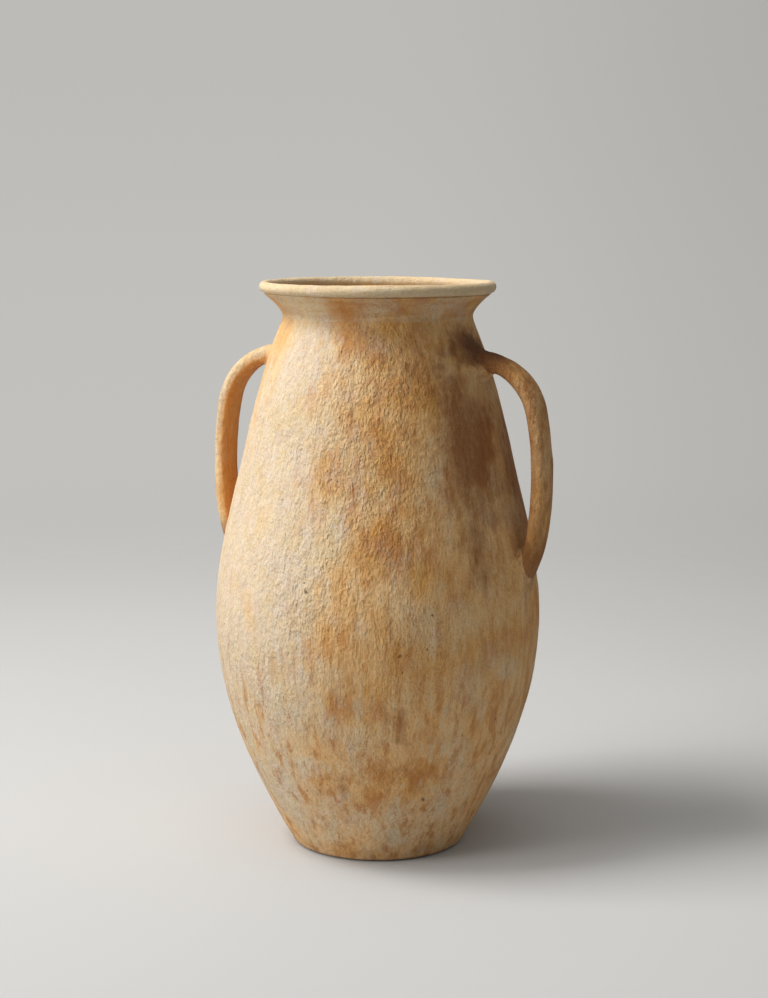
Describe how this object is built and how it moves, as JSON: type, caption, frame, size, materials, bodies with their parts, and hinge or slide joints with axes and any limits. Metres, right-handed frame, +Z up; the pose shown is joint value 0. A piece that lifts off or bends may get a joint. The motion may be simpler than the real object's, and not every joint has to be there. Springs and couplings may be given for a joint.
{
  "type": "two-handled amphora",
  "caption": "Tall terracotta amphora with a swelling body, flared collar with a rolled rim, and strap handles on the shoulder.",
  "frame": {"origin": "centre of the foot ring's resting plane", "axes": "+Z up along the body's axis, the two strap handles lie along +X and -X, +Y is towards the back"},
  "size_m": [0.2922, 0.2588, 0.45],
  "materials": {
    "body_clay": "matte unglazed terracotta with a worn cream slip",
    "collar_clay": "matte unglazed terracotta, ochre wash, brushed level",
    "rim_clay": "matte unglazed terracotta, worn pale on the roll",
    "handle_clay": "matte unglazed terracotta, ochre wash over pulled clay",
    "luting_clay": "matte unglazed terracotta smoothed by finger",
    "raw_clay": "bare fired clay inside the body"
  },
  "bodies": {
    "root": {"base_slab": "body_clay", "base_coil": "raw_clay", "lower_wall": "body_clay", "upper_wall": "body_clay", "body_seam_band": "raw_clay", "neck_collar": "collar_clay", "rim_coil": "rim_clay", "handle_left": "handle_clay", "handle_right": "handle_clay", "luting_upper_left": "luting_clay", "luting_lower_left": "luting_clay", "luting_upper_right": "luting_clay", "luting_lower_right": "luting_clay"}
  },
  "joints": []
}
